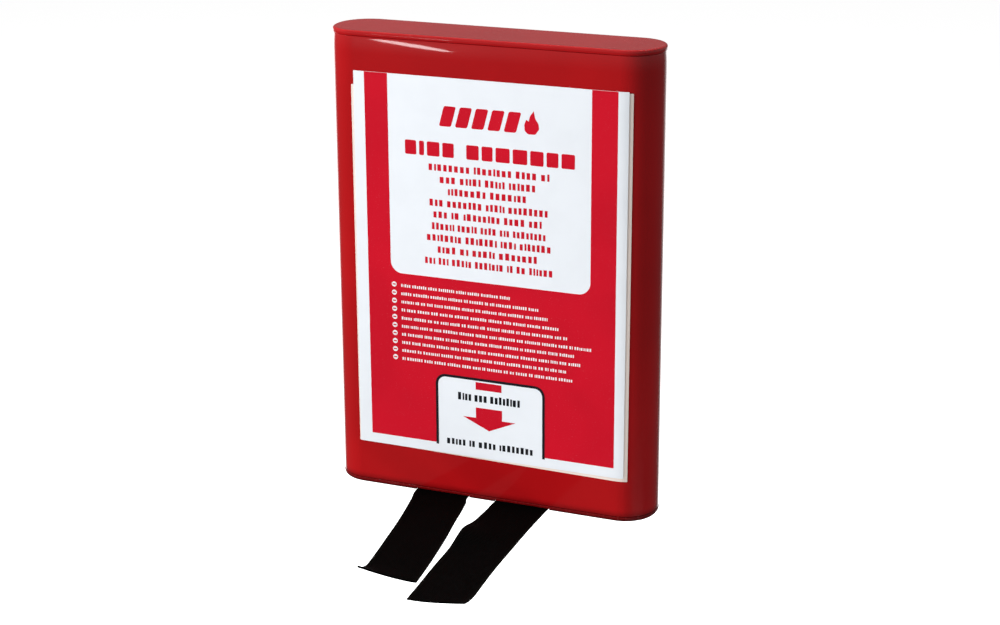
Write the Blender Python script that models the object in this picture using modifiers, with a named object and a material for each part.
"""Fire blanket in a wall-hung hard case, drawn out by two webbing pull tapes.

Frame, in metres: +X to the right as you face the front, +Y towards the wall, +Z up. The origin is on the
case's back face, midway between the two keyholes, at the height where the screws carry the case.
"""

import math

import bmesh
import bpy
from mathutils import Matrix

# Case outside
CASE_WIDTH = 0.210
CASE_HEIGHT = 0.290
CASE_DEPTH = 0.043
CORNER_RADIUS = 0.0205
LEAST_SIDE_FLAT = 0.001
CORNER_SEGMENTS = 12

# Case walls and how its three mouldings meet
SLEEVE_WALL = 0.002
SHOULDER_HEIGHT = 0.010
SHOULDER_INSET = 0.0005
SHOULDER_STEPS = 4
FIT_GAP = 0.0003
SPIGOT_WALL = 0.0016
SPIGOT_LENGTH = 0.008
CAP_RIM_HEIGHT = 0.003
CAP_PLATE = 0.0026
CAP_EDGE_RADIUS = 0.0016
RIM_PROUD = 0.0002
COLLAR_RIM_HEIGHT = 0.0032
COLLAR_EDGE_RADIUS = 0.0024
FILLET_STEPS = 5

# Keyholes in the back wall
KEYHOLE_HEIGHT = 0.215
KEYHOLE_SPACING = 0.090
KEYHOLE_HEAD_DIAMETER = 0.0095
KEYHOLE_SLOT_WIDTH = 0.0046
KEYHOLE_DROP = 0.010
ROUND_SEGMENTS = 24

# Labels on the front: how far each edge is from the case's own edge
LABEL_THICKNESS = 0.0002
LABEL_GAP = 0.00015
LABEL_STEP = 0.002
OVER_LABEL = {"left": 0.0207, "right": 0.0144, "bottom": 0.0289, "top": 0.0238}
UNDER_LABEL = {"left": 0.0194, "right": 0.0119, "bottom": 0.0270, "top": 0.0248}

# Folded blanket and the hem along its leading edge
PACK_SIDE_CLEARANCE = 0.0021
PACK_BACK_CLEARANCE = 0.0046
PACK_HEADROOM = 0.0245
PACK_LIFT = 0.0065
PACK_EDGE_RADIUS = 0.012
PACK_FOLD_RADIUS = 0.003
HEM_THICKNESS = 0.001
HEM_HEIGHT = 0.024
HEM_LIFT = 0.004

# Pull tapes
TAPE_WIDTH = 0.035
TAPE_THICKNESS = 0.0013
TAPE_BEND_RADIUS = 0.00265
TAPE_LIFT = 0.00005
TAPE_SEWN_LENGTH = 0.046
TAPE_BEND_GAP = 0.0002
TAPE_MOUTH_CLEARANCE = 0.0011
RELIEF_MARGIN = 0.0012
RELIEF_CLEARANCE = 0.0005
THREAD_RADIUS = 0.00025
THREAD_GAP = 0.0001
STITCH_MARGIN = 0.0035
LEFT_TAPE_FROM_MIDDLE = 0.0120
RIGHT_TAPE_FROM_MIDDLE = 0.0065
TAPES = {
    "left": {
        "centre": -(LEFT_TAPE_FROM_MIDDLE + TAPE_WIDTH / 2),
        "past_front": 0.1280,
        "turn": math.radians(9.8),
    },
    "right": {
        "centre": RIGHT_TAPE_FROM_MIDDLE + TAPE_WIDTH / 2,
        "past_front": 0.1460,
        "turn": math.radians(3.0),
    },
}

# Places and sizes that follow from the sizes above
BASE_Z = -KEYHOLE_HEIGHT
TOP_Z = BASE_Z + CASE_HEIGHT
FRONT_Y = -CASE_DEPTH
CASE_CORNER = min(CORNER_RADIUS, (CASE_DEPTH - LEAST_SIDE_FLAT) / 2)
SPIGOT_OUTER_INSET = SLEEVE_WALL + FIT_GAP
SPIGOT_INNER_INSET = SPIGOT_OUTER_INSET + SPIGOT_WALL
SEWN_STACK = 2 * FIT_GAP + HEM_THICKNESS + TAPE_THICKNESS + THREAD_GAP + 2 * THREAD_RADIUS
PACK_FRONT_Y = FRONT_Y + SPIGOT_INNER_INSET + TAPE_MOUTH_CLEARANCE + SEWN_STACK
PACK_BACK_Y = -SPIGOT_INNER_INSET - PACK_BACK_CLEARANCE
PACK_WIDTH = CASE_WIDTH - 2 * (SPIGOT_INNER_INSET + PACK_SIDE_CLEARANCE)
PACK_CORNER = min(PACK_EDGE_RADIUS, (PACK_BACK_Y - PACK_FRONT_Y - LEAST_SIDE_FLAT) / 2)
PACK_BOTTOM_Z = BASE_Z + PACK_LIFT
PACK_TOP_Z = TOP_Z - CAP_RIM_HEIGHT - SPIGOT_LENGTH - PACK_HEADROOM
HEM_FRONT_Y = PACK_FRONT_Y - FIT_GAP - HEM_THICKNESS
TAPE_MIDDLE_Y = HEM_FRONT_Y - FIT_GAP - TAPE_THICKNESS / 2
TAPE_MIDDLE_Z = BASE_Z + TAPE_LIFT + TAPE_THICKNESS / 2
HINGE_Y = TAPE_MIDDLE_Y - TAPE_BEND_RADIUS
HINGE_Z = TAPE_MIDDLE_Z + TAPE_BEND_RADIUS


def clear_scene():
    for old in list(bpy.data.objects):
        bpy.data.objects.remove(old, do_unlink=True)


def new_collection(name):
    collection = bpy.data.collections.new(name)
    bpy.context.scene.collection.children.link(collection)
    return collection


def new_material(name, color, roughness, metallic=0.0):
    material = bpy.data.materials.new(name)
    material.use_nodes = True
    shader = material.node_tree.nodes["Principled BSDF"]
    shader.inputs["Base Color"].default_value = (*color, 1.0)
    shader.inputs["Roughness"].default_value = roughness
    shader.inputs["Metallic"].default_value = metallic
    return material


def new_empty(name, location, parent=None):
    empty = bpy.data.objects.new(name, None)
    PART.objects.link(empty)
    empty.parent = parent
    empty.matrix_parent_inverse = Matrix.Translation(parent.location).inverted() if parent else Matrix()
    empty.location = location
    bpy.context.view_layer.update()
    return empty


def add_piece(name, mesh, material, parent=None):
    """Links a mesh given in the part's own frame as one piece, with its origin at its parent's."""
    mesh.materials.clear()
    mesh.materials.append(material)
    mesh.shade_smooth()
    mesh.set_sharp_from_angle(angle=math.radians(35))
    piece = bpy.data.objects.new(name, mesh)
    PART.objects.link(piece)
    if parent:
        mesh.transform(parent.matrix_world.inverted())
        piece.parent = parent
    return piece


def mesh_from(bm, name):
    bmesh.ops.recalc_face_normals(bm, faces=bm.faces)
    mesh = bpy.data.meshes.new(name)
    bm.to_mesh(mesh)
    bm.free()
    return mesh


def rounded_outline(half_width, front, back, radius, segments=CORNER_SEGMENTS):
    """(x, y) points anticlockwise round a rounded rectangle, seen from above."""
    corners = (
        (half_width - radius, back - radius, 0),
        (radius - half_width, back - radius, 90),
        (radius - half_width, front + radius, 180),
        (half_width - radius, front + radius, 270),
    )
    points = []
    for x, y, start in corners:
        for step in range(segments + 1):
            angle = math.radians(start + 90 * step / segments)
            points.append((x + radius * math.cos(angle), y + radius * math.sin(angle)))
    return points


def case_outline(inset):
    """The case's outline moved in by inset. A proud rim (inset under 0) stays flush at the back, on the wall."""
    return rounded_outline(CASE_WIDTH / 2 - inset, FRONT_Y + inset, -max(inset, 0.0), CASE_CORNER - inset)


def pack_outline(inset):
    half = PACK_WIDTH / 2 - inset
    return rounded_outline(half, PACK_FRONT_Y + inset, PACK_BACK_Y - inset, PACK_CORNER - inset)


def loft(name, outline, profile, closed):
    """A solid through one ring for each (inset, z) of the profile, which runs up the outside and down the
    inside. A closed profile makes a tube's wall, and an open one ends in a flat face at each end."""
    bm = bmesh.new()
    rings = [[bm.verts.new((x, y, z)) for x, y in outline(inset)] for inset, z in profile]
    pairs = list(zip(rings, rings[1:]))
    if closed:
        pairs.append((rings[-1], rings[0]))
    for low, high in pairs:
        for i in range(len(low)):
            bm.faces.new((low[i - 1], low[i], high[i], high[i - 1]))
    if not closed:
        bm.faces.new(rings[0])
        bm.faces.new(rings[-1])
    return mesh_from(bm, name)


def box_mesh(name, low, high, bevel=0.0):
    bm = bmesh.new()
    bmesh.ops.create_cube(bm, size=1.0)
    size = [high[i] - low[i] for i in range(3)]
    centre = [(high[i] + low[i]) / 2 for i in range(3)]
    bmesh.ops.scale(bm, vec=size, verts=bm.verts)
    bmesh.ops.translate(bm, vec=centre, verts=bm.verts)
    if bevel:
        bmesh.ops.bevel(
            bm, geom=list(bm.edges), offset=bevel, offset_type="OFFSET", segments=2,
            profile=0.5, affect="EDGES", material=-1,
        )
    return mesh_from(bm, name)


def fillet(centre_inset, centre_z, radius, start, end):
    """(inset, z) points round an arc. Angle 0 points out of the case, and 90 points up."""
    points = []
    for step in range(FILLET_STEPS + 1):
        angle = math.radians(start + (end - start) * step / FILLET_STEPS)
        points.append((centre_inset - radius * math.cos(angle), centre_z + radius * math.sin(angle)))
    return points


def add_cutter(piece, name, mesh):
    cutter = bpy.data.objects.new(name, mesh)
    CUTTERS.objects.link(cutter)
    cutter.hide_render = True
    cutter.display_type = "WIRE"
    modifier = piece.modifiers.new(name, "BOOLEAN")
    modifier.operation = "DIFFERENCE"
    modifier.object = cutter


def keyhole_mesh(name, x):
    """A round hole for a screw's head with a narrower slot above it, whose round top is at z = 0."""
    head, slot = KEYHOLE_HEAD_DIAMETER / 2, KEYHOLE_SLOT_WIDTH / 2
    meet = math.asin(slot / head)
    points = []
    for step in range(ROUND_SEGMENTS + 1):
        angle = math.pi / 2 + meet + (2 * math.pi - 2 * meet) * step / ROUND_SEGMENTS
        points.append((x + head * math.cos(angle), -KEYHOLE_DROP + head * math.sin(angle)))
    for step in range(ROUND_SEGMENTS // 2 + 1):
        angle = 2 * math.pi * step / ROUND_SEGMENTS
        points.append((x + slot * math.cos(angle), slot * math.sin(angle)))
    bm = bmesh.new()
    face = bm.faces.new([bm.verts.new((px, SLEEVE_WALL, pz)) for px, pz in points])
    solid = bmesh.ops.extrude_face_region(bm, geom=[face])
    far = [v for v in solid["geom"] if isinstance(v, bmesh.types.BMVert)]
    bmesh.ops.translate(bm, vec=(0, -3 * SLEEVE_WALL, 0), verts=far)
    return mesh_from(bm, name)


def make_sleeve():
    bottom = BASE_Z + COLLAR_RIM_HEIGHT + FIT_GAP
    top = TOP_Z - CAP_RIM_HEIGHT - FIT_GAP
    profile = [(SLEEVE_WALL, bottom), (0.0, bottom)]
    for step in range(SHOULDER_STEPS + 1):
        share = step / SHOULDER_STEPS
        profile.append((SHOULDER_INSET * share**2, top - SHOULDER_HEIGHT * (1 - share)))
    profile.append((SLEEVE_WALL, top))
    sleeve = add_piece("case_sleeve", loft("case_sleeve", case_outline, profile, True), RED_CASE)
    for side, x in (("left", -KEYHOLE_SPACING / 2), ("right", KEYHOLE_SPACING / 2)):
        add_cutter(sleeve, f"{side}_keyhole", keyhole_mesh(f"{side}_keyhole", x))


def make_top_cap():
    edge = CAP_EDGE_RADIUS
    profile = fillet(edge - RIM_PROUD, TOP_Z - edge, edge, 90, 0)
    profile += [
        (-RIM_PROUD, TOP_Z - CAP_RIM_HEIGHT),
        (SPIGOT_OUTER_INSET, TOP_Z - CAP_RIM_HEIGHT),
        (SPIGOT_OUTER_INSET, TOP_Z - CAP_RIM_HEIGHT - SPIGOT_LENGTH),
        (SPIGOT_INNER_INSET, TOP_Z - CAP_RIM_HEIGHT - SPIGOT_LENGTH),
        (SPIGOT_INNER_INSET, TOP_Z - CAP_PLATE),
    ]
    add_piece("top_cap", loft("top_cap", case_outline, profile, False), RED_CASE)


def make_mouth_collar():
    edge = COLLAR_EDGE_RADIUS
    profile = [(SPIGOT_INNER_INSET, BASE_Z)]
    profile += fillet(edge - RIM_PROUD, BASE_Z + edge, edge, 270, 360)
    profile += [
        (-RIM_PROUD, BASE_Z + COLLAR_RIM_HEIGHT),
        (SPIGOT_OUTER_INSET, BASE_Z + COLLAR_RIM_HEIGHT),
        (SPIGOT_OUTER_INSET, BASE_Z + COLLAR_RIM_HEIGHT + SPIGOT_LENGTH),
        (SPIGOT_INNER_INSET, BASE_Z + COLLAR_RIM_HEIGHT + SPIGOT_LENGTH),
    ]
    collar = add_piece("mouth_collar", loft("mouth_collar", case_outline, profile, True), RED_CASE)
    half = TAPE_WIDTH / 2 + RELIEF_MARGIN
    top = TAPE_MIDDLE_Z + TAPE_THICKNESS / 2 + RELIEF_CLEARANCE
    for side, tape in TAPES.items():
        low = (tape["centre"] - half, FRONT_Y - 2 * RIM_PROUD, BASE_Z - RELIEF_CLEARANCE)
        high = (tape["centre"] + half, FRONT_Y + SPIGOT_INNER_INSET + RIM_PROUD, top)
        add_cutter(collar, f"{side}_tape_relief", box_mesh(f"{side}_tape_relief", low, high))


def front_point(along, out):
    """(x, y) on the case's front at a distance along it from its middle, and out from its surface. Past the
    flat the distance runs on round the corner."""
    flat = CASE_WIDTH / 2 - CASE_CORNER
    angle = max(abs(along) - flat, 0.0) / CASE_CORNER
    radius = CASE_CORNER + out
    x = min(abs(along), flat) + radius * math.sin(angle)
    return math.copysign(x, along), FRONT_Y + CASE_CORNER - radius * math.cos(angle)


def make_label(name, margins, out, material):
    """A sheet that follows the front, so its side edges turn a little way round the case's corners."""
    left = margins["left"] - CASE_WIDTH / 2
    right = CASE_WIDTH / 2 - margins["right"]
    count = math.ceil((right - left) / LABEL_STEP)
    path = [left + (right - left) * step / count for step in range(count + 1)]
    bm = bmesh.new()
    low, high = BASE_Z + margins["bottom"], TOP_Z - margins["top"]
    rows = [[bm.verts.new((*front_point(s, out), z)) for s in path] for z in (low, high)]
    edge_rows = [[bm.edges.new(pair) for pair in zip(row, row[1:])] for row in rows]
    bmesh.ops.bridge_loops(bm, edges=edge_rows[0] + edge_rows[1])
    bmesh.ops.recalc_face_normals(bm, faces=bm.faces)
    mesh = bpy.data.meshes.new(name)
    bm.to_mesh(mesh)
    bm.free()
    if mesh.polygons[0].normal.y > 0:
        mesh.flip_normals()
    label = add_piece(name, mesh, material)
    thickness = label.modifiers.new("thickness", "SOLIDIFY")
    thickness.thickness = LABEL_THICKNESS
    thickness.offset = 1.0
    thickness.use_even_offset = True


def make_labels():
    make_label("under_label", UNDER_LABEL, LABEL_GAP, WHITE_LABEL)
    over_out = 2 * LABEL_GAP + LABEL_THICKNESS
    make_label("over_label", OVER_LABEL, over_out, RED_LABEL)


def make_blanket(parent):
    """The blanket folded to a flat pack, and the hem along its leading edge, low on the pack's front."""
    fold = PACK_FOLD_RADIUS
    profile = fillet(fold, PACK_BOTTOM_Z + fold, fold, 270, 360)
    profile += fillet(fold, PACK_TOP_Z - fold, fold, 0, 90)
    add_piece("folded_blanket", loft("folded_blanket", pack_outline, profile, False), GLASS_CLOTH, parent)
    half = PACK_WIDTH / 2 - PACK_CORNER
    low = (-half, HEM_FRONT_Y, PACK_BOTTOM_Z + HEM_LIFT)
    high = (half, HEM_FRONT_Y + HEM_THICKNESS, PACK_BOTTOM_Z + HEM_LIFT + HEM_HEIGHT)
    add_piece("leading_hem", box_mesh("leading_hem", low, high), GLASS_CLOTH, parent)


def make_sewn_end(side, tape, parent):
    """The stretch of tape sewn down over the hem, with its box of stitching."""
    half = TAPE_WIDTH / 2
    front = TAPE_MIDDLE_Y - TAPE_THICKNESS / 2
    low = (tape["centre"] - half, front, HINGE_Z)
    high = (tape["centre"] + half, front + TAPE_THICKNESS, HINGE_Z + TAPE_SEWN_LENGTH)
    name = f"{side}_tape_sewn_end"
    add_piece(name, box_mesh(name, low, high), BLACK_WEBBING, parent)

    name = f"{side}_tape_stitching"
    curve = bpy.data.curves.new(name, "CURVE")
    curve.dimensions = "3D"
    curve.bevel_depth = THREAD_RADIUS
    curve.bevel_resolution = 1
    spline = curve.splines.new("POLY")
    spline.use_cyclic_u = True
    y = front - THREAD_GAP - THREAD_RADIUS
    x0, x1 = low[0] + STITCH_MARGIN, high[0] - STITCH_MARGIN
    z0, z1 = PACK_BOTTOM_Z + HEM_LIFT + STITCH_MARGIN, high[2] - STITCH_MARGIN
    corners = ((x0, z0), (x1, z0), (x1, z1), (x0, z1))
    spline.points.add(len(corners) - 1)
    for point, (x, z) in zip(spline.points, corners):
        point.co = (x, y, z, 1.0)
    guide = bpy.data.objects.new(name + "_guide", curve)
    CUTTERS.objects.link(guide)
    bpy.context.view_layer.update()
    graph = bpy.context.evaluated_depsgraph_get()
    mesh = bpy.data.meshes.new_from_object(guide.evaluated_get(graph))
    bpy.data.objects.remove(guide, do_unlink=True)
    add_piece(name, mesh, BLACK_WEBBING, parent)


def make_pull_tape(side, tape, parent):
    """The free tape, lying forward from its hinge on the surface under the case."""
    half = TAPE_WIDTH / 2
    length = (HINGE_Y - FRONT_Y + tape["past_front"]) / math.cos(tape["turn"])
    low = (-half, -length, TAPE_MIDDLE_Z - TAPE_THICKNESS / 2)
    high = (half, -TAPE_BEND_GAP - half * abs(math.sin(tape["turn"])), TAPE_MIDDLE_Z + TAPE_THICKNESS / 2)
    name = f"{side}_pull_tape"
    mesh = box_mesh(name, low, high)
    place = Matrix.Translation((tape["centre"], HINGE_Y, 0)) @ Matrix.Rotation(tape["turn"], 4, "Z")
    mesh.transform(place)
    add_piece(name, mesh, BLACK_WEBBING, parent)


clear_scene()
PART = new_collection("fire_blanket")
CUTTERS = new_collection("cutters")
RED_CASE = new_material("gloss_red_case", (0.42, 0.008, 0.010), 0.22)
WHITE_LABEL = new_material("white_label_film", (0.80, 0.78, 0.74), 0.40)
RED_LABEL = new_material("printed_red_label", (0.56, 0.010, 0.024), 0.38)
GLASS_CLOTH = new_material("woven_glass_cloth", (0.72, 0.71, 0.67), 0.70)
BLACK_WEBBING = new_material("black_webbing", (0.012, 0.012, 0.013), 0.80)

make_sleeve()
make_top_cap()
make_mouth_collar()
make_labels()

blanket_axis = new_empty("blanket_axis", (0.0, (PACK_FRONT_Y + PACK_BACK_Y) / 2, BASE_Z))
make_blanket(blanket_axis)
for tape_side, tape_sizes in TAPES.items():
    make_sewn_end(tape_side, tape_sizes, blanket_axis)
    tape_axis = new_empty(f"{tape_side}_tape_axis", (tape_sizes["centre"], HINGE_Y, HINGE_Z), blanket_axis)
    make_pull_tape(tape_side, tape_sizes, tape_axis)
bpy.context.view_layer.update()
